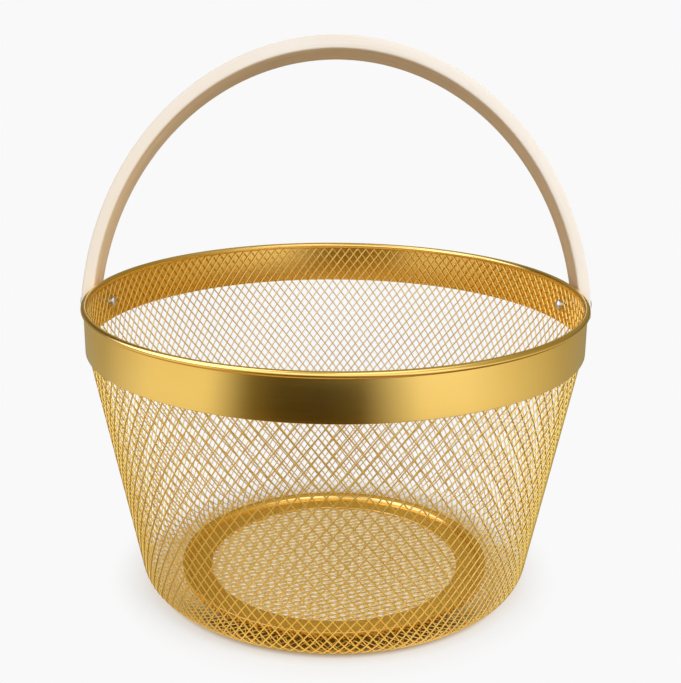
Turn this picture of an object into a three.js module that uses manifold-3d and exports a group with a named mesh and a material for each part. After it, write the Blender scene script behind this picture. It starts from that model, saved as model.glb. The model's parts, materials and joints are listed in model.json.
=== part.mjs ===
// Round metal mesh basket with a swinging bentwood handle.
// Millimetres, +Z up. The origin is on the basket's axis, on the surface that it stands on.
// The viewer stands at -Y, with +X to the right. The handle leans back, towards +Y.

import * as THREE from 'three';
import { mergeVertices } from 'three/addons/utils/BufferGeometryUtils.js';
import Module from 'manifold-3d';

// Rim: a sheet band whose top edge is rolled outwards round a wire.
const rimRadius = 130;
const bodyHeight = 154.2;
const beadDiameter = 3.4;
const beadOverhang = 1.3;
const bandHeight = 21.9;
const bandSheet = 0.7;
const curlEndAngle = 235;

// Mesh wall: upright behind the band, then a cone, a rounded foot and a flange under the base ring.
const meshThickness = 1.2;
const strandWidth = 1.9;
const wallTaper = 10.8;
const uprightLap = 1;
const footRadius = 14;
const wallCells = 26;
const wallRows = 12;
const selvedge = 1.6;

// Base: a flat ring with a raised outer lip, and a mesh disc that fills it.
const ringInset = 7.6;
const ringWidth = 15.9;
const ringSheet = 0.8;
const lipHeight = 3.7;
const lipWidth = 4.4;
const flangeLap = 6;
const floorCellWidth = 26;
const floorCellDepth = 22;

// Handle: one bent strip, half an oval from foot to foot, a little thicker at its crown.
const handleRise = 145.7;
const stripWidth = 23;
const stripThickness = 6.4;
const crownThickness = 7.6;
const footDrop = 9;
const footCorner = 4;
const bendSteps = 36;
const handleLean = 19.7;
const legGap = 1;

// Pivots: a rivet, a spacer and a washer on each side, a little behind the basket's middle.
const pivotSetback = 30;
const pivotDrop = 11;
const rivetDiameter = 4;
const headDiameter = 6;
const headHeight = 1.9;
const tailHeight = 1.1;
const spacerDiameter = 10;
const washerDiameter = 8;
const washerThickness = 0.6;

// Fits
const seatGap = 0.3;
const runningGap = 0.3;

// Facets round a full turn
const turnSteps = 48;
const smallTurnSteps = 16;
const curlSteps = 8;
const curlInnerSteps = 6;
const lipSteps = 5;
const lipInnerSteps = 3;
const wireSides = 6;
const domeSteps = 4;
const cornerSteps = 5;

// How far a cutting shape runs past what it cuts, and how near two points count as one
const cutMargin = 1;
const weldDistance = 1e-4;

// Sizes that follow from the ones above
const beadRadius = beadDiameter / 2;
const beadCentre = new THREE.Vector2(rimRadius - beadRadius, bodyHeight - beadRadius);
const bandOuter = rimRadius - beadOverhang;
const bandInner = bandOuter - bandSheet;
const bandBottom = beadCentre.y - bandHeight;
const meshTopRadius = bandInner - seatGap - meshThickness / 2;
const meshOffset = beadCentre.x - bandInner + seatGap;
const meshTop = beadCentre.y - Math.sqrt(beadRadius ** 2 - meshOffset ** 2) - seatGap;
const taper = THREE.MathUtils.degToRad(wallTaper);
const coneTop = bandBottom + uprightLap;
const footBend = footRadius - meshThickness / 2;
const footCentre = meshTopRadius - (coneTop - footRadius) * Math.tan(taper) - footBend / Math.cos(taper);
const ringOuterRadius = footCentre - ringInset;
const ringInnerRadius = ringOuterRadius - ringWidth;
const flangeInner = ringOuterRadius - flangeLap;
const floorOuter = flangeInner * Math.cos(Math.PI / wallCells) - seatGap;
const ringBottom = meshThickness + seatGap;
const legInner = rimRadius + legGap;
const legOuter = legInner + stripThickness;
const outerRise = handleRise + footDrop;
const innerRise = outerRise - crownThickness;
const pivotHeight = beadCentre.y - pivotDrop;
const rad = THREE.MathUtils.degToRad;

const wasm = await Module();
wasm.setup();

function toSolid(geometry) {
  const bare = geometry.clone();
  bare.deleteAttribute('normal');
  bare.deleteAttribute('uv');
  const merged = mergeVertices(bare, weldDistance);
  const vertProperties = new Float32Array(merged.attributes.position.array);
  const triVerts = new Uint32Array(merged.index.array);
  return new wasm.Manifold(new wasm.Mesh({ numProp: 3, vertProperties, triVerts }));
}

function toGeometry(solid) {
  const mesh = solid.getMesh();
  const geometry = new THREE.BufferGeometry();
  geometry.setAttribute('position', new THREE.BufferAttribute(new Float32Array(mesh.vertProperties), 3));
  geometry.setIndex(new THREE.BufferAttribute(new Uint32Array(mesh.triVerts), 1));
  return geometry;
}

// A closed outline of radius and height, counter-clockwise, revolved about Z.
function revolve(points, steps) {
  const outline = [...points, points[0]];
  const geometry = new THREE.LatheGeometry(outline, steps);
  geometry.rotateX(Math.PI / 2);
  return geometry;
}

// Points on a circular arc, angles in degrees.
function arcPoints(centre, radius, from, to, steps) {
  const points = [];
  for (let i = 0; i <= steps; i += 1) {
    const angle = rad(from + ((to - from) * i) / steps);
    points.push(new THREE.Vector2(centre.x + radius * Math.cos(angle), centre.y + radius * Math.sin(angle)));
  }
  return points;
}

// A solid of revolution about X, from an outline of distance along X and radius.
function turnAboutX(points, steps) {
  const outline = points.map(([along, radius]) => new THREE.Vector2(radius, along));
  const geometry = new THREE.LatheGeometry(outline, steps);
  geometry.rotateZ(-Math.PI / 2);
  return geometry;
}

// Rim band: the sheet rises, then curls over the rim wire and stops short of itself.
function rimBand() {
  const curlInner = beadRadius - bandSheet;
  const outerSide = bandOuter - beadCentre.x;
  const innerSide = bandInner - beadCentre.x;
  const outerStart = THREE.MathUtils.radToDeg(-Math.acos(outerSide / beadRadius));
  const innerEnd = THREE.MathUtils.radToDeg(-Math.acos(innerSide / curlInner));
  return revolve([
    new THREE.Vector2(bandInner, bandBottom),
    new THREE.Vector2(bandOuter, bandBottom),
    ...arcPoints(beadCentre, beadRadius, outerStart, curlEndAngle, curlSteps),
    ...arcPoints(beadCentre, curlInner, curlEndAngle, innerEnd, curlInnerSteps),
  ], turnSteps);
}

// Rim wire: fills the curl, with a seat's clearance.
function rimWire() {
  const lastSide = 360 - 360 / wireSides;
  const section = arcPoints(beadCentre, beadRadius - bandSheet - seatGap, 0, lastSide, wireSides - 1);
  return revolve(section, turnSteps);
}

// Middle line of the wall mesh, from its top edge down, round the foot and in under the base ring.
function wallLine() {
  const line = new THREE.Path();
  line.moveTo(meshTopRadius, meshTop);
  line.lineTo(meshTopRadius, coneTop);
  line.lineTo(footCentre + footBend * Math.cos(taper), footRadius - footBend * Math.sin(taper));
  line.absarc(footCentre, footRadius, footBend, -taper, -Math.PI / 2, true);
  line.lineTo(flangeInner, meshThickness / 2);
  return line;
}

// Heights of the crossing rows along the wall line. A row's step follows the radius there,
// so that the diamonds keep their proportions from rim to base.
function rowPlaces(line, from, to, rows) {
  const samples = 400;
  const turns = [0];
  for (let i = 0; i < samples; i += 1) {
    const at = from + ((to - from) * (i + 0.5)) / samples;
    turns.push(turns[i] + 1 / line.getPointAt(at).x);
  }
  const total = turns[samples];
  const places = [];
  for (let row = 0; row <= rows; row += 1) {
    const wanted = (total * row) / rows;
    let i = 0;
    while (i < samples - 1 && turns[i + 1] < wanted) i += 1;
    const share = (wanted - turns[i]) / (turns[i + 1] - turns[i]);
    places.push(from + ((to - from) * (i + share)) / samples);
  }
  return places;
}

// Mesh wall: an open lattice of diamonds on a surface of revolution, closed by a selvedge at each edge.
// Each crossing is a small patch between the corners of the openings round it.
function meshWall() {
  const line = wallLine();
  const length = line.getLength();
  const edge = selvedge / length;
  const places = rowPlaces(line, edge, 1 - edge, wallRows);
  const positions = [];
  const triangles = [];
  const half = meshThickness / 2;

  // Adds a point on the outer and inner face, and gives the number of the outer one.
  function pair(cell, place) {
    const at = line.getPointAt(place);
    const along = line.getTangentAt(place);
    const turn = (cell / wallCells) * Math.PI * 2;
    for (const side of [half, -half]) {
      const radius = at.x - along.y * side;
      const height = at.y + along.x * side;
      positions.push(radius * Math.cos(turn), radius * Math.sin(turn), height);
    }
    return positions.length / 3 - 2;
  }

  // A polygon of the outer face, with its twin on the inner face.
  function patch(...corners) {
    for (let i = 1; i < corners.length - 1; i += 1) {
      triangles.push(corners[0], corners[i], corners[i + 1]);
      triangles.push(corners[0] + 1, corners[i + 1] + 1, corners[i] + 1);
    }
  }

  // The edge wall from one outer point to the next.
  function wall(from, to) {
    triangles.push(from, to, to + 1);
    triangles.push(from, to + 1, from + 1);
  }

  // Corners of the opening round the crossing-row place of the given row, drawn in by half a strand.
  function insets(row) {
    const place = places[row];
    const halfCell = (Math.PI * line.getPointAt(place).x) / wallCells;
    const above = (place - places[Math.max(row - 1, 0)]) * length;
    const below = (places[Math.min(row + 1, wallRows)] - place) * length;
    const step = Math.max(above, below);
    const slant = Math.hypot(halfCell, step);
    const sideways = ((strandWidth / 2) * slant) / step / (2 * halfCell);
    const upright = ((strandWidth / 2) * slant) / halfCell / length;
    return { sideways, upright };
  }

  // Openings of each row: top, bottom, left and right corners. The first and last rows are half openings.
  const openings = [];
  for (let row = 0; row <= wallRows; row += 1) {
    const { sideways, upright } = insets(row);
    const ring = [];
    for (let cell = 0; cell < wallCells; cell += 1) {
      const middle = cell + (row % 2 === 0 ? 0.5 : 0);
      ring.push({
        left: pair(middle - 0.5 + sideways, places[row]),
        right: pair(middle + 0.5 - sideways, places[row]),
        top: row > 0 ? pair(middle, places[row - 1] + upright) : null,
        bottom: row < wallRows ? pair(middle, places[row + 1] - upright) : null,
      });
    }
    openings.push(ring);
  }
  const opening = (row, cell) => openings[row][(cell + wallCells) % wallCells];

  for (let row = 0; row <= wallRows; row += 1) {
    for (let cell = 0; cell < wallCells; cell += 1) {
      const here = opening(row, cell);
      const next = opening(row, cell + 1);
      // Edge walls of the opening
      if (here.bottom !== null) {
        wall(here.left, here.bottom);
        wall(here.bottom, here.right);
      }
      if (here.top !== null) {
        wall(here.right, here.top);
        wall(here.top, here.left);
      }
      // Strands to the two openings below, in the next row
      const shift = row % 2 === 0 ? 1 : 0;
      if (row < wallRows) {
        const lowerRight = opening(row + 1, cell + shift);
        const lowerLeft = opening(row + 1, cell + shift - 1);
        patch(here.bottom, lowerRight.left, lowerRight.top, here.right);
        patch(here.left, lowerLeft.top, lowerLeft.right, here.bottom);
      }
      // Crossing between this opening and the next one of its row
      const aboveIt = row > 0 ? opening(row - 1, cell + shift) : null;
      const belowIt = row < wallRows ? opening(row + 1, cell + shift) : null;
      if (aboveIt && belowIt) patch(here.right, belowIt.top, next.left, aboveIt.bottom);
      else if (belowIt) patch(here.right, belowIt.top, next.left);
      else patch(here.right, next.left, aboveIt.bottom);
    }
  }

  // Selvedges: a plain strip above the first row and below the last one
  for (const [row, place] of [[0, 0], [wallRows, 1]]) {
    const rim = [];
    for (let cell = 0; cell < wallCells; cell += 1) {
      rim.push(pair(cell + (row % 2 === 0 ? 0.5 : 0), place));
    }
    for (let cell = 0; cell < wallCells; cell += 1) {
      const here = opening(row, cell);
      const next = opening(row, cell + 1);
      const a = rim[cell];
      const b = rim[(cell + 1) % wallCells];
      if (place === 0) {
        patch(a, here.left, here.right);
        patch(a, here.right, next.left, b);
        wall(a, b);
        wall(here.right, here.left);
      } else {
        patch(a, here.right, here.left);
        patch(a, b, next.left, here.right);
        wall(b, a);
        wall(here.left, here.right);
      }
    }
  }

  const geometry = new THREE.BufferGeometry();
  geometry.setAttribute('position', new THREE.Float32BufferAttribute(positions, 3));
  geometry.setIndex(triangles);
  return geometry;
}

// Floor mesh: two sets of straight strands, trimmed to a disc whose edge lies under the base ring.
function floorMesh() {
  const slant = Math.atan2(floorCellDepth, floorCellWidth);
  const spacing = floorCellWidth * Math.sin(slant);
  const count = Math.floor(floorOuter / spacing);
  const strandLength = 2 * floorOuter + spacing;
  const border = revolve([
    new THREE.Vector2(floorOuter - selvedge, 0),
    new THREE.Vector2(floorOuter, 0),
    new THREE.Vector2(floorOuter, meshThickness),
    new THREE.Vector2(floorOuter - selvedge, meshThickness),
  ], turnSteps);
  let net = toSolid(border);
  for (const turn of [slant, -slant]) {
    for (let i = -count; i <= count; i += 1) {
      const strand = new THREE.BoxGeometry(strandLength, strandWidth, meshThickness);
      strand.translate(0, i * spacing, meshThickness / 2);
      strand.rotateZ(turn);
      net = net.add(toSolid(strand));
    }
  }
  const disc = new THREE.CylinderGeometry(floorOuter, floorOuter, meshThickness, turnSteps);
  disc.rotateX(Math.PI / 2);
  disc.translate(0, 0, meshThickness / 2);
  return toGeometry(net.intersect(toSolid(disc)));
}

// Base ring: flat sheet that laps over both meshes, pressed up into a round lip at its outer edge.
function baseRing() {
  const lipRadius = lipWidth / 2;
  const lipCentre = new THREE.Vector2(ringOuterRadius - lipRadius, ringBottom + lipHeight - lipRadius);
  const under = lipRadius - ringSheet;
  return revolve([
    new THREE.Vector2(ringInnerRadius, ringBottom),
    new THREE.Vector2(lipCentre.x - under, ringBottom),
    ...arcPoints(lipCentre, under, 180, 0, lipInnerSteps),
    new THREE.Vector2(lipCentre.x + under, ringBottom),
    new THREE.Vector2(ringOuterRadius, ringBottom),
    ...arcPoints(lipCentre, lipRadius, 0, 180, lipSteps),
    new THREE.Vector2(lipCentre.x - lipRadius, ringBottom + ringSheet),
    new THREE.Vector2(ringInnerRadius, ringBottom + ringSheet),
  ], turnSteps);
}

// Handle strip, drawn upright round the pivot axis: two half ovals, one inside the other.
function handleArch() {
  const strip = new THREE.Shape();
  strip.moveTo(legOuter, -footDrop);
  strip.absellipse(0, -footDrop, legOuter, outerRise, 0, Math.PI, false);
  strip.lineTo(-legInner, -footDrop);
  strip.absellipse(0, -footDrop, legInner, innerRise, Math.PI, 0, true);
  const bar = new THREE.ExtrudeGeometry(strip, {
    depth: stripWidth, bevelEnabled: false, curveSegments: bendSteps,
  });
  bar.rotateX(Math.PI / 2);
  bar.translate(0, stripWidth / 2, 0);

  // Rounded corners at the foot of both legs, and a hole for each rivet
  const cut = new THREE.Shape();
  const side = stripWidth / 2;
  cut.moveTo(-side - cutMargin, -footDrop - cutMargin);
  cut.lineTo(side + cutMargin, -footDrop - cutMargin);
  cut.lineTo(side + cutMargin, footCorner - footDrop);
  cut.lineTo(side, footCorner - footDrop);
  cut.absarc(side - footCorner, footCorner - footDrop, footCorner, 0, -Math.PI / 2, true);
  cut.absarc(footCorner - side, footCorner - footDrop, footCorner, -Math.PI / 2, -Math.PI, true);
  cut.lineTo(-side - cutMargin, footCorner - footDrop);
  const cutLength = 2 * (legOuter + cutMargin);
  const corners = new THREE.ExtrudeGeometry(cut, {
    depth: cutLength, bevelEnabled: false, curveSegments: cornerSteps,
  });
  corners.rotateX(Math.PI / 2);
  corners.rotateZ(Math.PI / 2);
  corners.translate(-legOuter - cutMargin, 0, 0);
  const bore = rivetDiameter / 2 + runningGap;
  const drill = new THREE.CylinderGeometry(bore, bore, cutLength, smallTurnSteps);
  drill.rotateZ(Math.PI / 2);
  return toGeometry(toSolid(bar).subtract(toSolid(corners)).subtract(toSolid(drill)));
}

// Where the rivet axis meets the inside of the wall mesh and the outside of the band.
const meshFace = Math.sqrt((meshTopRadius - meshThickness / 2) ** 2 - (pivotSetback + headDiameter / 2) ** 2);
const washerFace = legOuter + runningGap;
const tailFace = washerFace + washerThickness + seatGap;

// Rivet on the +X side: a domed head inside the wall, a shank, and a set tail outside the washer.
function pivotRivet() {
  const shank = rivetDiameter / 2;
  const head = headDiameter / 2;
  const headFace = meshFace - seatGap;
  const outline = [[headFace - headHeight, 0]];
  for (let i = 1; i <= domeSteps; i += 1) {
    const angle = (Math.PI / 2) * (i / domeSteps);
    outline.push([headFace - headHeight * Math.cos(angle), head * Math.sin(angle)]);
  }
  outline.push([headFace, shank], [tailFace, shank], [tailFace, head]);
  for (let i = domeSteps - 1; i >= 1; i -= 1) {
    const angle = (Math.PI / 2) * (i / domeSteps);
    outline.push([tailFace + tailHeight * Math.cos(angle), head * Math.sin(angle)]);
  }
  outline.push([tailFace + tailHeight, 0]);
  return turnAboutX(outline, smallTurnSteps);
}

// A flat ring about X between two faces.
function collar(from, to, bore, outside) {
  return turnAboutX([[from, bore], [from, outside], [to, outside], [to, bore], [from, bore]], smallTurnSteps);
}

// Spacer: keeps the leg clear of the bead. Its inner end is cut to the curve of the band, and its outer end
// runs beside the leg, which bends inwards above the pivot.
function pivotSpacer() {
  const bore = rivetDiameter / 2 + seatGap;
  const climb = (spacerDiameter / 2 + footDrop) / innerRise;
  const legFace = legInner * Math.sqrt(1 - climb ** 2);
  const blank = collar(meshFace, legFace - runningGap, bore, spacerDiameter / 2);
  const curve = new THREE.CylinderGeometry(
    bandOuter + seatGap, bandOuter + seatGap, 2 * spacerDiameter, turnSteps);
  curve.rotateX(Math.PI / 2);
  curve.translate(0, -pivotSetback, 0);
  return toGeometry(toSolid(blank).subtract(toSolid(curve)));
}

function pivotWasher() {
  return collar(washerFace, washerFace + washerThickness, rivetDiameter / 2 + seatGap, washerDiameter / 2);
}

// A hole through wall and band for each rivet, cut along X.
function drilled(geometry) {
  const reach = 2 * (rimRadius + cutMargin);
  const bore = rivetDiameter / 2 + seatGap;
  const drill = new THREE.CylinderGeometry(bore, bore, reach, smallTurnSteps);
  drill.rotateZ(Math.PI / 2);
  drill.translate(0, pivotSetback, pivotHeight);
  return toGeometry(toSolid(geometry).subtract(toSolid(drill)));
}

// Turns a right-hand piece into its left-hand twin.
function mirrorX(geometry) {
  geometry.scale(-1, 1, 1);
  const order = geometry.index.array;
  for (let i = 0; i < order.length; i += 3) {
    [order[i], order[i + 1]] = [order[i + 1], order[i]];
  }
}

const basket = new THREE.Group();

function addPiece(parent, name, geometry, finish) {
  const mesh = new THREE.Mesh(geometry, new THREE.MeshStandardMaterial(finish));
  mesh.name = name;
  parent.add(mesh);
  return mesh;
}

const goldMesh = { color: 0xc8963c, roughness: 0.35, metalness: 1 };
const goldSheet = { color: 0xd0a040, roughness: 0.28, metalness: 1 };
const steel = { color: 0xd8d8d6, roughness: 0.25, metalness: 1 };
const spacerPlastic = { color: 0xe6e0d2, roughness: 0.5, metalness: 0 };
const birch = { color: 0xecd8b8, roughness: 0.6, metalness: 0 };

addPiece(basket, 'mesh_wall', drilled(meshWall()), goldMesh);
addPiece(basket, 'base_mesh', floorMesh(), goldMesh);
addPiece(basket, 'base_ring', baseRing(), goldSheet);
addPiece(basket, 'rim_band', drilled(rimBand()), goldSheet);
addPiece(basket, 'rim_wire', rimWire(), steel);

// The pivots share one axis, along X. The handle hangs on it and leans back.
const pivots = new THREE.Group();
pivots.position.set(0, pivotSetback, pivotHeight);
basket.add(pivots);

for (const side of ['right', 'left']) {
  const pieces = [
    ['pivot_rivet', pivotRivet(), steel],
    ['pivot_spacer', pivotSpacer(), spacerPlastic],
    ['pivot_washer', pivotWasher(), steel],
  ];
  for (const [name, geometry, finish] of pieces) {
    if (side === 'left') mirrorX(geometry);
    addPiece(pivots, `${name}_${side}`, geometry, finish);
  }
}

const handle = addPiece(pivots, 'handle_arch', handleArch(), birch);
handle.rotation.x = -rad(handleLean);

export default basket;
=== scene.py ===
import json
import math

import bmesh
import bpy
from mathutils import Matrix, Vector


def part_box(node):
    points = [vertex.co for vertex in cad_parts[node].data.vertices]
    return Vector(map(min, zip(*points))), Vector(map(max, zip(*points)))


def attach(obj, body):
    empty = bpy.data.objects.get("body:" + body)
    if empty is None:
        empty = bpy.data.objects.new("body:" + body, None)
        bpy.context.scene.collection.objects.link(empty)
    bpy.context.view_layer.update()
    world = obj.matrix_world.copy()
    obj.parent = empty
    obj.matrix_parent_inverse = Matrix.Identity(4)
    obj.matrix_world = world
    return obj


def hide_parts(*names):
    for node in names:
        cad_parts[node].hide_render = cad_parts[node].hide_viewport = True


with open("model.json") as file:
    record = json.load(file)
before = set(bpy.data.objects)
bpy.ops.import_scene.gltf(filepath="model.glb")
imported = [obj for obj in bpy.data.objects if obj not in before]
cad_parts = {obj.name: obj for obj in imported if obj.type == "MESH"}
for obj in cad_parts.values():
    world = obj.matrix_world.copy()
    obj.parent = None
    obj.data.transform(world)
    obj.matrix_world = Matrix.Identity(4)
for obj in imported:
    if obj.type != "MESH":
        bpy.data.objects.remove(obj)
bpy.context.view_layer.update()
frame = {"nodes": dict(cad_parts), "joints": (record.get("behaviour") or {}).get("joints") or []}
mm = 0.001
merge_gap = 0.0001 * mm

# Boxes of the metal pieces in the frame
band_low, band_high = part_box("rim_band")
ring_low, ring_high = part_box("base_ring")
wall_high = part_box("mesh_wall")[1]

# The rim band and its bead. Bare edges of sheet are rounded by a share of its thickness
rim_radius = band_high.x
rim_top = band_high.z
band_bottom = band_low.z
bead_radius = 1.7 * mm
bead_overhang = 1.3 * mm
band_sheet = 0.7 * mm
sheet_round = 0.4
curl_end = math.radians(235)
bead_centre = Vector((rim_radius - bead_radius, rim_top - bead_radius))
band_outer = rim_radius - bead_overhang
band_inner = band_outer - band_sheet

# The wall mesh: upright behind the band, then a cone, a round foot and a flange under the base ring
seat_gap = 0.3 * mm
mesh_thickness = 1.2 * mm
mesh_top = wall_high.z
mesh_radius = band_inner - seat_gap - mesh_thickness / 2
cone_lap = 1 * mm
cone_top = band_bottom + cone_lap
taper = math.radians(10.8)
foot_radius = 14 * mm
foot_bend = foot_radius - mesh_thickness / 2
foot_centre = mesh_radius - (cone_top - foot_radius) * math.tan(taper) - foot_bend / math.cos(taper)
flange_lap = 6 * mm
flange_inner = ring_high.x - flange_lap
wire_radius = 0.35 * mm
wire_sides = 6
wire_smooth = 80
strand_offset = 0.1 * mm
strands = 135
strand_slope = 0.74

# How the mesh's cells widen and lengthen towards the front: a wave round the wall and a finer ripple
cell_spread = 0.13
row_spread = 0.15
spread_wave = 1.17
row_ripple = 0.17
cell_ripple = 0.057

# The base: a ring pressed up into a lip, over a disc of mesh with flatter cells
ring_outer = ring_high.x
ring_width = 15.9 * mm
ring_inner = ring_outer - ring_width
ring_sheet = 0.8 * mm
ring_bottom = ring_low.z
lip_width = 4.4 * mm
lip_corner = 0.3 * mm
floor_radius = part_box("base_mesh")[1].x
floor_cell = Vector((9.6 * mm, 4.2 * mm))
floor_wire = 0.42 * mm

# The handle: a strip bent to half an oval, a little thicker at its crown, that hangs on the pivots
hinge = Vector(frame["joints"][0]["pos_m"])
handle_lean = math.radians(19.7)
leg_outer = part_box("handle_arch")[1].x
strip_width = 23 * mm
strip_thickness = 6.4 * mm
crown_thickness = 7.6 * mm
strip_edge = 1.1 * mm
edge_margin = 0.11 * mm
handle_rise = 145.7 * mm
foot_drop = 9 * mm
foot_corner = 4 * mm
sharp_angle = math.radians(50)
oval_half = leg_outer - strip_thickness / 2
oval_rise = handle_rise + foot_drop - crown_thickness / 2

# The pivots
rivet_radius = 2 * mm
rivet_head = 3 * mm
spacer_radius = 5 * mm
head_height = 1.9 * mm
tail_height = 1.1 * mm
washer_radius = 4 * mm
pivot_edge = 0.2 * mm

# How many steps divide the round shapes
band_steps = 240
ring_steps = 200
bead_steps = 36
curl_steps = 24
edge_steps = 4
lip_steps = 14
crest_steps = 5
strip_steps = 96
foot_steps = 6
pivot_steps = 40
head_steps = 10
studio_steps = 96

# Colours, as linear red, green and blue
gold_pale = (0.97, 0.67, 0.205, 1)
gold_deep = (0.92, 0.59, 0.13, 1)
wire_pale = (0.935, 0.695, 0.205, 1)
wire_deep = (0.83, 0.57, 0.13, 1)
# The wires of the base's disc: darker and browner, a painted shade at the bottom of the basket
shaded_disc_pale = (0.80, 0.60, 0.235, 1)
shaded_disc_deep = (0.69, 0.49, 0.15, 1)
steel_pale = (0.82, 0.82, 0.81, 1)
steel_deep = (0.62, 0.62, 0.61, 1)
birch_pale = (0.91, 0.84, 0.745, 1)
birch_mid = (0.89, 0.81, 0.705, 1)
birch_deep = (0.84, 0.74, 0.61, 1)
# Painted warm light on the edges of the left leg
warm_lit_birch = (0.90, 0.79, 0.64, 1)
# The broad faces, browner than the edges: partly the wood's own tone, partly painted shade warmed by the
# gold below
face_tone_and_shade_pale = (0.88, 0.67, 0.42, 1)
face_tone_and_shade_mid = (0.84, 0.61, 0.37, 1)
face_tone_and_shade_deep = (0.74, 0.52, 0.30, 1)
spacer_pale = (0.80, 0.76, 0.68, 1)
spacer_deep = (0.70, 0.66, 0.57, 1)

# The strip's edges turn creamier to the left, between two lengths along the strip: painted warm light on
# the left leg
warm_light_start = 250 * mm
warm_light_end = 370 * mm
warm_light_share = 0.8

# Depth of the fine marks in every surface
bump_depth = 0.1 * mm


class Value:
    """A socket of a material's nodes. Python's operators on values add Math nodes."""

    def __init__(self, tree, socket=None):
        self.tree = tree
        self.socket = socket

    def node(self, kind, settings=None, sockets=None, output=0):
        """Adds a node. Its settings are set first, then the values or links of its sockets."""
        made = self.tree.nodes.new("ShaderNode" + kind)
        for name, setting in (settings or {}).items():
            if name == "stops":
                for stop in setting[2:]:
                    made.color_ramp.elements.new(stop[0])
                for element, stop in zip(made.color_ramp.elements, setting):
                    element.position, element.color = stop
            else:
                setattr(made, name, setting)
        for name, given in (sockets or {}).items():
            if isinstance(given, Value):
                self.tree.links.new(given.socket, made.inputs[name])
            else:
                made.inputs[name].default_value = given
        return Value(self.tree, made.outputs[output] if made.outputs else None)

    def math(self, operation, first, second):
        return self.node("Math", {"operation": operation}, {0: first, 1: second})

    def __add__(self, other):
        return self.math("ADD", self, other)

    def __radd__(self, other):
        return self.math("ADD", other, self)

    def __mul__(self, other):
        return self.math("MULTIPLY", self, other)

    def __rmul__(self, other):
        return self.math("MULTIPLY", other, self)

    def mixed(self, first, second):
        """A colour between two others, by this value."""
        return self.node("Mix", {"data_type": "RGBA"}, {0: self, 6: first, 7: second}, 2)

    def noise(self, place, stretch, detail):
        """Noise in a pattern that is stretched by a scale along each axis."""
        laid = self.node("Mapping", {}, {"Vector": place, "Scale": stretch})
        return self.node("TexNoise", {}, {"Vector": laid, "Scale": 1, "Detail": detail})

    def bump(self, strength):
        """A normal with this value as the height of its marks."""
        return self.node("Bump", {}, {"Strength": strength, "Distance": bump_depth, "Height": self})

    def length(self):
        """The length of this vector."""
        return self.node("VectorMath", {"operation": "LENGTH"}, {0: self}, "Value")

    def part(self, axis):
        """One part of this vector."""
        return self.node("SeparateXYZ", {}, {0: self}, axis)

    def ramp(self, stops):
        """A colour by this value, from stops of a place and a colour."""
        return self.node("ValToRGB", {"stops": stops}, {0: self})

    def between(self, start, end, kind="SMOOTHSTEP"):
        """Nought to one, as this value goes from start to end."""
        ends = {"Value": self, "From Min": start, "From Max": end}
        return self.node("MapRange", {"interpolation_type": kind}, ends)


def new_material(name, surface):
    """A material whose surface comes from a function that adds its nodes."""
    material = bpy.data.materials.new(name)
    material.use_nodes = True
    material.node_tree.nodes.clear()
    nodes = Value(material.node_tree)
    nodes.node("OutputMaterial", {}, {"Surface": surface(nodes)})
    return material


def sheet_gold(nodes):
    """Satin gold coat on sheet: faint lines round the band, and a slow drift of tone."""
    place = nodes.node("TexCoord", output="Object")
    lines = nodes.noise(place, stretch=(30, 30, 2200), detail=4)
    drift = nodes.noise(place, stretch=(14, 14, 30), detail=2)
    return nodes.node("BsdfPrincipled", {}, {
        "Base Color": drift.mixed(gold_deep, gold_pale),
        "Metallic": 1,
        "Roughness": 0.13 + 0.1 * lines + 0.05 * drift,
        "Normal": lines.bump(strength=0.05),
    })


def wire_gold(nodes):
    """The same coat on wire, thicker and duller in places, with painted shade on the wires of the base's
    disc, which are darker and browner.
    """
    place = nodes.node("TexCoord", output="Object")
    patches = nodes.noise(place, stretch=(90, 90, 90), detail=3)
    specks = nodes.noise(place, stretch=(1500, 1500, 1500), detail=2)
    wall = place.length().between(floor_radius, flange_inner, "LINEAR")
    coat = patches.mixed(wire_deep, wire_pale)
    # Painted shade: the wires of the disc inside the ring are darker and browner than the wall's
    disc = patches.mixed(shaded_disc_deep, shaded_disc_pale)
    return nodes.node("BsdfPrincipled", {}, {
        "Base Color": wall.mixed(disc, coat),
        "Metallic": 1,
        "Roughness": 0.24 + 0.12 * specks,
        "Normal": specks.bump(strength=0.12),
    })


def plated_steel(nodes):
    """Bright plating with fine turning marks."""
    place = nodes.node("TexCoord", output="Object")
    marks = nodes.noise(place, stretch=(2600, 500, 500), detail=3)
    return nodes.node("BsdfPrincipled", {}, {
        "Base Color": marks.mixed(steel_deep, steel_pale),
        "Metallic": 1,
        "Roughness": 0.26 + 0.14 * marks,
    })


def pale_spacer(nodes):
    """Plain moulded plastic with a fine grain."""
    place = nodes.node("TexCoord", output="Object")
    grain = nodes.noise(place, stretch=(1800, 1800, 1800), detail=3)
    return nodes.node("BsdfPrincipled", {}, {
        "Base Color": grain.mixed(spacer_deep, spacer_pale),
        "Roughness": 0.42 + 0.16 * grain,
        "Normal": grain.bump(strength=0.1),
    })


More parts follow.
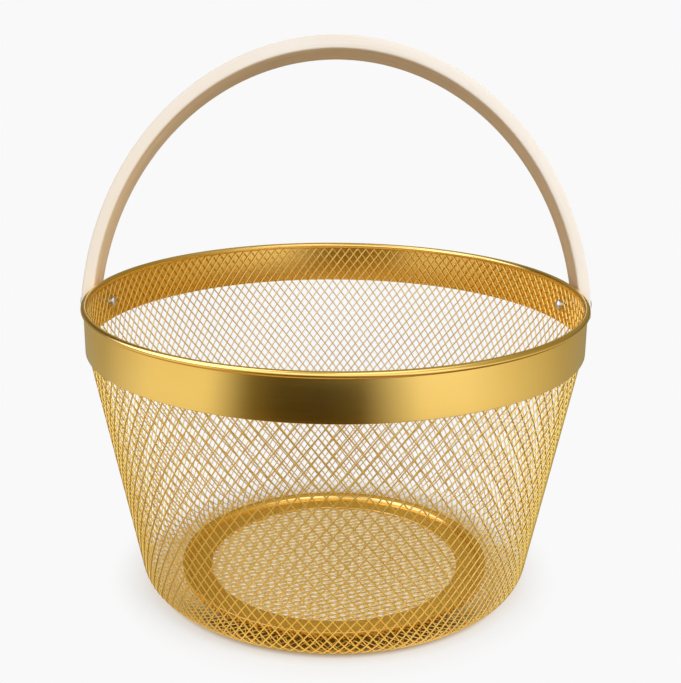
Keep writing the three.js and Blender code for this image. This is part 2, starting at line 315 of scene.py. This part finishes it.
def birch_strip(nodes):
    """Bent birch: pale edges with painted warm light on the left leg, faces browner partly by their own
    tone and partly by painted shade warmed by the gold below, long grain and a matt lacquer.
    """
    place = nodes.node("Attribute", {"attribute_name": "grain"}, output="Vector")
    streaks = nodes.noise(place, stretch=(9, 700, 700), detail=4)
    pores = nodes.noise(place, stretch=(120, 3600, 3600), detail=2)
    bands = nodes.noise(place, stretch=(16, 90, 160), detail=3)
    tone = streaks * 0.55 + bands * 0.45
    edge_grain = tone.ramp([(0.34, birch_deep), (0.5, birch_mid), (0.66, birch_pale)])
    # The faces' own tone with painted warm shade
    face_grain_and_shade = tone.ramp([(0.34, face_tone_and_shade_deep), (0.5, face_tone_and_shade_mid), (0.66, face_tone_and_shade_pale)])
    # Painted warm light, creamier towards the left leg
    left = warm_light_share * place.part("X").between(warm_light_start, warm_light_end, "LINEAR")
    across = nodes.math("ABSOLUTE", place.part("Y"), 0)
    side = across.between(strip_width / 2 - strip_edge, strip_width / 2 - edge_margin)
    return nodes.node("BsdfPrincipled", {}, {
        "Base Color": side.mixed(face_grain_and_shade, left.mixed(edge_grain, warm_lit_birch)),
        "Roughness": 0.46 + 0.14 * pores,
        "Normal": pores.bump(strength=0.15),
        "Specular IOR Level": 0.35,
    })


def add_piece(bm, name, material, body, nodes, smooth_angle=40):
    """Makes a piece of a finished mesh, which rides on a body and stands for CAD nodes."""
    bmesh.ops.recalc_face_normals(bm, faces=bm.faces)
    mesh = bpy.data.meshes.new(name)
    bm.to_mesh(mesh)
    bm.free()
    mesh.shade_smooth()
    mesh.set_sharp_from_angle(angle=math.radians(smooth_angle))
    mesh.materials.append(material)
    piece = bpy.data.objects.new(name, mesh)
    bpy.context.scene.collection.objects.link(piece)
    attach(piece, body)
    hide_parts(*nodes)
    return piece


def arc(centre, radius, start, end, steps):
    """Points on a round stretch of an outline, angles in radians."""
    angles = [start + (end - start) * step / steps for step in range(steps + 1)]
    return [(centre[0] + radius * math.cos(a), centre[1] + radius * math.sin(a)) for a in angles]


def spun(outline, steps, closed=True):
    """Spins an outline of (radius, height) about the Z axis."""
    bm = bmesh.new()
    verts = [bm.verts.new((radius, 0, height)) for radius, height in outline]
    ends = verts[1:] + verts[:1] if closed else verts[1:]
    edges = [bm.edges.new(pair) for pair in zip(verts, ends)]
    bmesh.ops.spin(
        bm, geom=verts + edges, cent=(0, 0, 0), axis=(0, 0, 1), dvec=(0, 0, 0),
        angle=math.tau, steps=steps, use_merge=True, use_normal_flip=False, use_duplicate=False)
    bmesh.ops.remove_doubles(bm, verts=bm.verts, dist=merge_gap)
    return bm


def sweep_wire(bm, places, radius, sides):
    """Sweeps a round wire along a line of places, with a flat cap at each end."""
    along = (places[1] - places[0]).normalized()
    turn = along.to_track_quat("Z", "X").to_matrix().to_4x4()
    ring = bmesh.ops.create_circle(
        bm, cap_ends=True, segments=sides, radius=radius, matrix=Matrix.Translation(places[0]) @ turn)
    edges = list({edge for vert in ring["verts"] for edge in vert.link_edges})
    for index in range(1, len(places)):
        after = places[min(index + 1, len(places) - 1)]
        heading = (after - places[index - 1]).normalized()
        bend = along.rotation_difference(heading).to_matrix().to_4x4()
        move = Matrix.Translation(places[index]) @ bend @ Matrix.Translation(-places[index - 1])
        grown = bmesh.ops.extrude_edge_only(bm, edges=edges)["geom"]
        verts = [part for part in grown if isinstance(part, bmesh.types.BMVert)]
        edges = [part for part in grown if isinstance(part, bmesh.types.BMEdge) and part.is_boundary]
        bmesh.ops.transform(bm, matrix=move, verts=verts)
        along = heading
    bmesh.ops.contextual_create(bm, geom=edges)


def wall_line():
    """Radius, height and lean of the wall mesh's middle, from its top edge to the flange's inner edge."""
    foot_start = (foot_centre + foot_bend * math.cos(taper), foot_radius - foot_bend * math.sin(taper))
    upright_steps, cone_steps, bend_steps, flange_steps = 8, 40, 9, 5
    runs = [
        ((mesh_radius, mesh_top), (mesh_radius, cone_top), 0, upright_steps),
        ((mesh_radius, cone_top), foot_start, taper, cone_steps),
    ]
    line = []
    for start, end, lean, steps in runs:
        for step in range(steps):
            share = step / steps
            line.append((*Vector(start).lerp(Vector(end), share), lean))
    for step in range(bend_steps):
        lean = taper + (math.pi / 2 - taper) * step / bend_steps
        line.append((
            foot_centre + foot_bend * math.cos(lean), foot_radius - foot_bend * math.sin(lean), lean))
    for step in range(flange_steps + 1):
        radius = foot_centre + (flange_inner - foot_centre) * step / flange_steps
        line.append((radius, mesh_thickness / 2, math.pi / 2))
    return line


def strand_places(line, turn, side, offset):
    """The line of one strand down the wall. The mesh's cells are larger in the front half than behind."""
    places = []
    before = None
    for radius, height, lean in line:
        if before:
            stretch = 1 + row_spread * (spread_wave * math.cos(turn) - row_ripple * math.cos(3 * turn))
            across = strand_slope * math.dist(before, (radius, height)) / stretch
            turn += side * across * 2 / (before[0] + radius)
        bearing = turn + cell_spread * (spread_wave * math.sin(turn) - cell_ripple * math.sin(3 * turn))
        out = radius + offset * math.cos(lean)
        up = height - offset * math.sin(lean)
        places.append(Vector((out * math.sin(bearing), -out * math.cos(bearing), up)))
        before = (radius, height)
    return places


def wall_strands(name, side, offset, material):
    """One of the wall's two sets of strands, which wind round it to one side."""
    line = wall_line()
    gathered = bmesh.new()
    holder = bpy.data.meshes.new(name + "_strand")
    for index in range(strands):
        bm = bmesh.new()
        places = strand_places(line, math.tau * index / strands, side, offset)
        sweep_wire(bm, places, wire_radius, wire_sides)
        bm.to_mesh(holder)
        bm.free()
        gathered.from_mesh(holder)
    bpy.data.meshes.remove(holder)
    add_piece(gathered, name, material, "basket", ["mesh_wall"], wire_smooth)


def floor_strands(name, side, material):
    """One of the two sets of strands in the base's disc, trimmed to its edge under the ring."""
    slant = side * math.atan2(floor_cell.y, floor_cell.x)
    crossing = floor_cell.length / 2
    spacing = floor_cell.x * math.sin(abs(slant))
    reach = math.ceil(floor_radius / crossing)
    rows = math.ceil(floor_radius / spacing)
    weave = mesh_thickness / 2 - floor_wire
    bm = bmesh.new()
    places = []
    for step in range(-reach, reach + 1):
        over = weave if step % 2 else -weave
        places.append(Vector((step * crossing, -rows * spacing, mesh_thickness / 2 + side * over)))
    sweep_wire(bm, places, floor_wire, wire_sides)
    bmesh.ops.spin(
        bm, geom=bm.verts[:] + bm.edges[:] + bm.faces[:], cent=(0, 0, 0), axis=(0, 0, 1),
        dvec=(0, spacing, 0), angle=0, steps=2 * rows,
        use_merge=False, use_normal_flip=False, use_duplicate=True)
    outside = [vert for vert in bm.verts if vert.co.xy.length > floor_radius]
    bmesh.ops.delete(bm, geom=outside, context="VERTS")
    bmesh.ops.holes_fill(bm, edges=bm.edges, sides=wire_sides)
    bmesh.ops.rotate(bm, verts=bm.verts, cent=(0, 0, 0), matrix=Matrix.Rotation(slant, 3, "Z"))
    add_piece(bm, name, material, "basket", ["base_mesh"], wire_smooth)


def rim_band(material):
    """The band's sheet with a broken lower edge, rolled at the top over the rim wire."""
    curl_inner = bead_radius - band_sheet
    outer_start = -math.acos((band_outer - bead_centre.x) / bead_radius)
    inner_end = -math.acos((band_inner - bead_centre.x) / curl_inner)
    edge = band_sheet * sheet_round
    outline = arc((band_inner + edge, band_bottom + edge), edge, math.pi, 1.5 * math.pi, edge_steps)
    outline += arc((band_outer - edge, band_bottom + edge), edge, 1.5 * math.pi, math.tau, edge_steps)
    outline += arc(bead_centre, bead_radius, outer_start, curl_end, bead_steps)
    outline += arc(bead_centre, curl_inner, curl_end, inner_end, curl_steps)
    bm = spun(outline, band_steps)
    add_piece(bm, "rim_band_sheet", material, "basket", ["rim_band"])


def base_ring(material):
    """The ring's flat sheet, pressed up at its outer edge into a lip that is round on its inner side."""
    top = ring_bottom + ring_sheet
    edge = ring_sheet * sheet_round
    crest = ring_outer - lip_corner
    bends = [math.pi / 2 * (1 + step / lip_steps) for step in range(lip_steps + 1)]
    outline = [(ring_outer - ring_sheet, ring_bottom), (ring_outer, ring_bottom)]
    outline += arc((crest, ring_high.z - lip_corner), lip_corner, 0, math.pi / 2, crest_steps)
    rise = ring_high.z - top
    slope = lip_width - lip_corner
    outline += [(crest + slope * math.cos(bend), top + rise * math.sin(bend)) for bend in bends[1:]]
    outline += arc((ring_inner + edge, top - edge), edge, math.pi / 2, math.pi, edge_steps)
    outline += [(ring_inner, ring_bottom)]
    slope -= ring_sheet
    for bend in bends[:1:-1]:
        outline.append((crest + slope * math.cos(bend), ring_bottom + rise * math.sin(bend)))
    outline += [(ring_outer - ring_sheet, ring_bottom + rise)]
    bm = spun(outline, ring_steps)
    add_piece(bm, "base_ring_sheet", material, "basket", ["base_ring"])


def handle_frames(steps):
    """Places along the strip's middle, each turned to the oval and scaled to the strip's section."""
    frames = []
    for step in range(steps + 1):
        angle = math.pi * step / steps
        lean = math.atan2(oval_half * math.sin(angle), oval_rise * math.cos(angle))
        place = Vector((oval_half * math.cos(angle), 0, oval_rise * math.sin(angle) - foot_drop))
        thickness = strip_thickness + (crown_thickness - strip_thickness) * math.sin(angle) ** 2
        size = Matrix.Diagonal((thickness, strip_width, 1, 1))
        frames.append(Matrix.Translation(place) @ Matrix.Rotation(-lean, 4, "Y") @ size)
    return frames


def handle_strip(material):
    """The bent strip with round-cornered feet and eased edges, leaning back on its pivots."""
    frames = handle_frames(strip_steps)
    bm = bmesh.new()
    bmesh.ops.create_grid(bm, x_segments=1, y_segments=1, size=0.5)
    bmesh.ops.transform(bm, matrix=frames[0], verts=bm.verts)
    edges = bm.edges[:]
    for before, after in zip(frames, frames[1:]):
        grown = bmesh.ops.extrude_edge_only(bm, edges=edges)["geom"]
        verts = [part for part in grown if isinstance(part, bmesh.types.BMVert)]
        edges = [part for part in grown if isinstance(part, bmesh.types.BMEdge) and part.is_boundary]
        bmesh.ops.transform(bm, matrix=after @ before.inverted(), verts=verts)
    bmesh.ops.contextual_create(bm, geom=edges)
    bmesh.ops.recalc_face_normals(bm, faces=bm.faces)

    # The corners of the feet, then every edge of the strip
    near = 0.01 * mm
    corners = []
    for edge in bm.edges:
        one, two = (vert.co for vert in edge.verts)
        if max(one.z, two.z) < near - foot_drop and abs(one.y - two.y) < near:
            corners.append(edge)
    bmesh.ops.bevel(
        bm, geom=corners, offset=foot_corner, segments=foot_steps, profile=0.5, material=-1, affect="EDGES")
    bm.normal_update()
    sharp = [edge for edge in bm.edges if edge.calc_face_angle() > sharp_angle]
    bmesh.ops.bevel(
        bm, geom=sharp, offset=strip_edge, segments=edge_steps, profile=0.5, material=-1, affect="EDGES")
    grain = grain_places(bm)
    lean = Matrix.Translation(hinge) @ Matrix.Rotation(-handle_lean, 4, "X")
    bmesh.ops.transform(bm, matrix=lean, verts=bm.verts)
    piece = add_piece(bm, "handle_strip", material, "handle", ["handle_arch"])
    attribute = piece.data.attributes.new("grain", "FLOAT_VECTOR", "POINT")
    attribute.data.foreach_set("vector", [number for place in grain for number in place])


def grain_places(bm):
    """Each vertex's place in the strip as it was before bending: along, across and through it."""
    mean = (oval_half + oval_rise) / 2
    places = []
    for vert in bm.verts:
        out = vert.co.x / oval_half
        up = (vert.co.z + foot_drop) / oval_rise
        places.append((math.atan2(up, out) * mean, vert.co.y, (math.hypot(out, up) - 1) * mean))
    return places


def turned(outline, steps, side, closed=True):
    """Spins an outline of (distance along X, radius) about the pivot axis, on one side of the basket."""
    bm = spun([(radius, along) for along, radius in outline], steps, closed)
    bmesh.ops.transform(bm, matrix=Matrix.Rotation(math.pi / 2, 4, "Y"), verts=bm.verts)
    bmesh.ops.scale(bm, vec=(side, 1, 1), verts=bm.verts)
    bmesh.ops.translate(bm, vec=hinge, verts=bm.verts)
    return bm


def dome(face, height, radius, steps):
    """A round head on a rivet, from its rim on a face to its crown."""
    angles = [math.pi / 2 * step / steps for step in range(steps + 1)]
    return [(face + height * math.sin(a), max(radius * math.cos(a), 0)) for a in angles]


def pivot(name, side, steel, plastic):
    """One pivot: a rivet with its two heads, the spacer between band and leg, and the outer washer."""
    inner_face, outer_face = (abs(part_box("pivot_rivet_" + name)[end].x) for end in (0, 1))
    inner_tip, outer_tip = sorted((inner_face, outer_face))
    head_face = inner_tip + head_height
    tail_face = outer_tip - tail_height
    outline = dome(head_face, -head_height, rivet_head, head_steps)[::-1]
    outline += [(head_face, rivet_radius), (tail_face, rivet_radius)]
    outline += dome(tail_face, tail_height, rivet_head, head_steps)
    bm = turned(outline, pivot_steps, side, closed=False)
    add_piece(bm, "rivet_" + name, steel, "basket", ["pivot_rivet_" + name])

    washer = sorted(abs(corner.x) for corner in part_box("pivot_washer_" + name))
    bore = rivet_radius + seat_gap
    edge = pivot_edge
    outline = [(washer[0], bore), (washer[0], washer_radius - edge), (washer[0] + edge, washer_radius)]
    outline += [(washer[1] - edge, washer_radius), (washer[1], washer_radius - edge), (washer[1], bore)]
    bm = turned(outline, pivot_steps, side)
    add_piece(bm, "washer_" + name, steel, "basket", ["pivot_washer_" + name])

    leg_face = max(abs(corner.x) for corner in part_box("pivot_spacer_" + name))
    start = leg_face - spacer_radius
    outline = [(start, bore), (start, spacer_radius), (leg_face - edge, spacer_radius)]
    outline += [(leg_face, spacer_radius - edge), (leg_face, bore)]
    bm = turned(outline, pivot_steps, side)
    for vert in bm.verts:
        if abs(vert.co.x) < start + edge:
            vert.co.x = side * math.sqrt((band_outer + seat_gap) ** 2 - vert.co.y ** 2)
    add_piece(bm, "spacer_" + name, plastic, "basket", ["pivot_spacer_" + name])


# The object
gold_sheet = new_material("gold_sheet_coat", sheet_gold)
gold_wire = new_material("gold_wire_coat", wire_gold)
steel = new_material("plated_steel", plated_steel)
plastic = new_material("spacer_plastic", pale_spacer)
birch = new_material("birch_wood", birch_strip)

wall_strands("wall_strands_outer", -1, strand_offset, gold_wire)
wall_strands("wall_strands_inner", 1, -strand_offset, gold_wire)
floor_strands("floor_strands_one", 1, gold_wire)
floor_strands("floor_strands_two", -1, gold_wire)
rim_band(gold_sheet)
base_ring(gold_sheet)
handle_strip(birch)
pivot("right", 1, steel, plastic)
pivot("left", -1, steel, plastic)
wire_node = frame["nodes"]["rim_wire"]
wire_node.data.materials.clear()
wire_node.data.materials.append(steel)


# The stage: floor, world, lamps and camera
sky_light = 0.5
backdrop = 0.947
floor_tone = 0.9
floor_glow = 0.6
bounce_tone = 0.5
# Painted light on the floor: a warm glow as if light bounced from the gold under the base, and a painted
# shadow under the foot in front
painted_gold_bounce = (1, 0.86, 0.62, 1)
foot_shade = (0.12, 0.06, 0.01, 1)
fade_start = 0.1
fade_end = 0.125
front_start = -0.03
front_end = -0.07
white = (1, 1, 1, 1)

# The floor's colours outwards, by share of the distance where it fades: painted warm light as if bounced
# from the gold under the base, then a painted contact shadow round the foot; round the back, then in front,
# where the painted shadow is darkest
painted_bounce_and_shadow_behind = [
    (0.0, painted_gold_bounce), (0.64, painted_gold_bounce), (0.71, (0.74, 0.58, 0.36, 1)), (0.75, (0.8, 0.68, 0.5, 1)),
    (0.79, (0.91, 0.86, 0.8, 1)), (0.85, (0.98, 0.965, 0.945, 1)), (0.92, white),
]
painted_bounce_and_shadow_in_front = [
    (0.0, painted_gold_bounce), (0.56, painted_gold_bounce), (0.63, foot_shade), (0.72, foot_shade),
    (0.757, (0.5, 0.36, 0.19, 1)), (0.79, (0.94, 0.9, 0.85, 1)), (0.85, white),
]

# The dome that the metal mirrors: a floor with a hole, a wall and a roof
studio_hole = 0.1
studio_lift = 0.5 * mm
studio_radius = 2.2
studio_wall = 2.0
studio_top = 3.0

# The dome's light by bearing from the front, in degrees to the right: on its floor, then upwards
foot_tones = [(-180, 0.30), (-60, 0.36), (-25, 1.2), (25, 1.2), (60, 0.36), (180, 0.30)]
near_tones = [
    (-180, 0.30), (-110, 0.55), (-42, 0.58), (-14, 0.30), (8, 0.28), (30, 0.27), (110, 0.27), (180, 0.30),
]
floor_tones = [
    (-180, 0.30), (-110, 0.46), (-78, 0.91), (-48, 0.94), (-32, 0.15), (-20, 0.05), (-4, 0.03),
    (10, 0.07), (32, 0.99), (52, 1.00), (80, 0.72), (108, 0.47), (140, 0.36), (180, 0.30),
]
low_tones = [
    (-180, 0.20), (-150, 0.25), (-60, 0.5), (-40, 0.5), (-18, 0.5), (4, 0.9), (28, 1.5),
    (46, 1.5), (60, 0.5), (100, 0.35), (125, 0.2), (180, 0.20),
]
high_tones = [
    (-180, 0.30), (-160, 0.30), (-140, 0.12), (-112, 0.12), (-100, 2.4), (-60, 2.4), (-40, 1.5),
    (-4, 1.4), (10, 1.1), (40, 0.8), (60, 0.55), (84, 0.4), (110, 0.3), (180, 0.30),
]
top_tones = [
    (-180, 0.40), (-120, 0.40), (-105, 2.0), (-62, 2.6), (-45, 0.6), (-4, 0.6),
    (10, 1.9), (50, 1.7), (80, 0.8), (122, 0.40), (180, 0.40),
]
roof_tone = 0.5

# Where one ring of tones goes over into the next, by distance on the floor and then by height
near_zone = (0.13, 0.17)
floor_zone = (0.27, 0.34)
low_zone = (0.7, 0.95)
high_zone = (0.25, 0.7)
top_zone = (2.0, 2.2)
roof_zone = (2.6, 2.85)

# A dimmer light is warmer, by a power for each of red, green and blue
warm_powers = (1, 1.1, 1.6)
neutral = (1, 1, 1)
brown = (1, 0.75, 0.45)


def seen_directly(nodes):
    """One for what the camera sees, straight or through a mirror or glass, and zero for other light."""
    kinds = ["Is Camera Ray", "Is Glossy Ray", "Is Transmission Ray"]
    camera, glossy, clear = (nodes.node("LightPath", output=kind) for kind in kinds)
    return nodes.math("MINIMUM", camera + glossy + clear, 1)


def floor_surface(nodes):
    """A pale floor that keeps the shadow and fades into the backdrop, with painted warm light under the
    gold base and a painted shadow round the foot, darkest in front.
    """
    seen = seen_directly(nodes)
    place = nodes.node("TexCoord", output="Object")
    away = place.length()
    share = away * (1 / fade_end)
    front = place.part("Y").between(front_start, front_end)
    # The floor's painted light: warm bounce under the base, and a painted contact shadow round the foot
    # that is darkest in front
    under = front.mixed(share.ramp(painted_bounce_and_shadow_behind), share.ramp(painted_bounce_and_shadow_in_front))
    tone = bounce_tone + seen * (floor_tone - bounce_tone)
    shade = nodes.node("CombineColor", {}, {0: tone, 1: tone, 2: tone})
    multiplied = {"data_type": "RGBA", "blend_type": "MULTIPLY"}
    painted = nodes.node("Mix", multiplied, {0: 1, 6: shade, 7: under}, 2)
    paint = nodes.node("BsdfDiffuse", {}, {"Color": painted})
    glow = nodes.node("Emission", {}, {"Color": under, "Strength": backdrop})
    near = nodes.node("MixShader", {}, {0: floor_glow * seen, 1: paint, 2: glow})
    far = nodes.node("Emission", {}, {"Strength": backdrop})
    return nodes.node("MixShader", {}, {0: away.between(fade_start, fade_end) * seen, 1: near, 2: far})


def warm(level, tint):
    """The colour of a level of light in the studio."""
    return (*(level ** power * share for power, share in zip(warm_powers, tint)), 1)


def tone_stops(tones, tint):
    """Stops of a ramp round the object, from tones by bearing."""
    return [(0.5 + degrees / 360, warm(level, tint)) for degrees, level in tones]


def studio_surface(nodes):
    """What the metal mirrors: a floor dark in front and bright to both sides, and a room dark behind."""
    place = nodes.node("TexCoord", output="Object")
    turned_front = nodes.node("Mapping", {}, {"Vector": place, "Rotation": (0, 0, math.pi / 2)})
    bearing = nodes.node("TexGradient", {"gradient_type": "RADIAL"}, {"Vector": turned_front}, "Fac")
    away = place.length()
    height = place.part("Z")
    rings = [
        (away, near_zone, near_tones, brown), (away, floor_zone, floor_tones, neutral),
        (away, low_zone, low_tones, neutral), (height, high_zone, high_tones, neutral),
        (height, top_zone, top_tones, neutral),
    ]
    shade = bearing.ramp(tone_stops(foot_tones, brown))
    for measure, zone, tones, tint in rings:
        shade = measure.between(*zone).mixed(shade, bearing.ramp(tone_stops(tones, tint)))
    shade = height.between(*roof_zone).mixed(shade, warm(roof_tone, neutral))
    return nodes.node("Emission", {}, {"Color": shade})


def flat_sheet(name, corners, height, material):
    """A flat sheet on the stage, from its corners."""
    bm = bmesh.new()
    bm.faces.new([bm.verts.new((x, y, height)) for x, y in corners])
    mesh = bpy.data.meshes.new(name)
    bm.to_mesh(mesh)
    bm.free()
    mesh.materials.append(material)
    sheet = bpy.data.objects.new(name, mesh)
    bpy.context.scene.collection.objects.link(sheet)


def studio_card(name, outline, material):
    """A dome over the floor, round the object, that shows only in the metal's reflections."""
    bm = spun(outline, studio_steps, closed=False)
    mesh = bpy.data.meshes.new(name)
    bm.to_mesh(mesh)
    bm.free()
    mesh.materials.append(material)
    card = bpy.data.objects.new(name, mesh)
    bpy.context.scene.collection.objects.link(card)
    card.visible_camera = False
    card.visible_diffuse = False
    card.visible_shadow = False
    card.visible_transmission = False


def add_lamp(name, place, target, size, power):
    """A soft square lamp that faces a target. The metal mirrors the studio card instead of it."""
    lamp = bpy.data.lights.new(name, "AREA")
    lamp.size = size
    lamp.energy = power
    holder = bpy.data.objects.new(name, lamp)
    holder.location = place
    holder.rotation_euler = (Vector(target) - Vector(place)).to_track_quat("-Z", "Y").to_euler()
    holder.visible_glossy = False
    bpy.context.scene.collection.objects.link(holder)


floor_half = 6
floor_corners = [(floor_half * x, floor_half * y) for x, y in ((-1, -1), (1, -1), (1, 1), (-1, 1))]
flat_sheet("floor", floor_corners, 0, new_material("pale_floor", floor_surface))
card_outline = [
    (studio_hole, studio_lift), (studio_radius, studio_lift), (studio_radius, studio_wall), (0, studio_top),
]
studio_card("studio_card", card_outline, new_material("studio_tones", studio_surface))

world = bpy.data.worlds.new("studio")
world.use_nodes = True
world.node_tree.nodes.clear()
air = Value(world.node_tree)
level = sky_light + seen_directly(air) * (backdrop - sky_light)
sky = air.node("Background", {}, {"Color": white, "Strength": level})
air.node("OutputWorld", {}, {"Surface": sky})
bpy.context.scene.world = world

middle = (0, 0, 0.1)
add_lamp("key_lamp", (1.2, -1.1, 1.5), middle, size=1.2, power=26)
add_lamp("side_lamp", (-1.2, -0.9, 1.2), middle, size=1.2, power=6)

camera = bpy.data.cameras.new("camera")
camera.sensor_width = 36
camera.lens = 62.35
view = bpy.data.objects.new("camera", camera)
view.location = (2.6 * mm, -595.9 * mm, 308.1 * mm)
tilt = Matrix.Rotation(math.radians(73.23), 3, "X")
roll = Matrix.Rotation(math.radians(0.45), 3, "Z")
view.rotation_euler = (tilt @ roll).to_euler()
bpy.context.scene.collection.objects.link(view)
bpy.context.scene.camera = view
bpy.context.scene.view_settings.view_transform = "Standard"
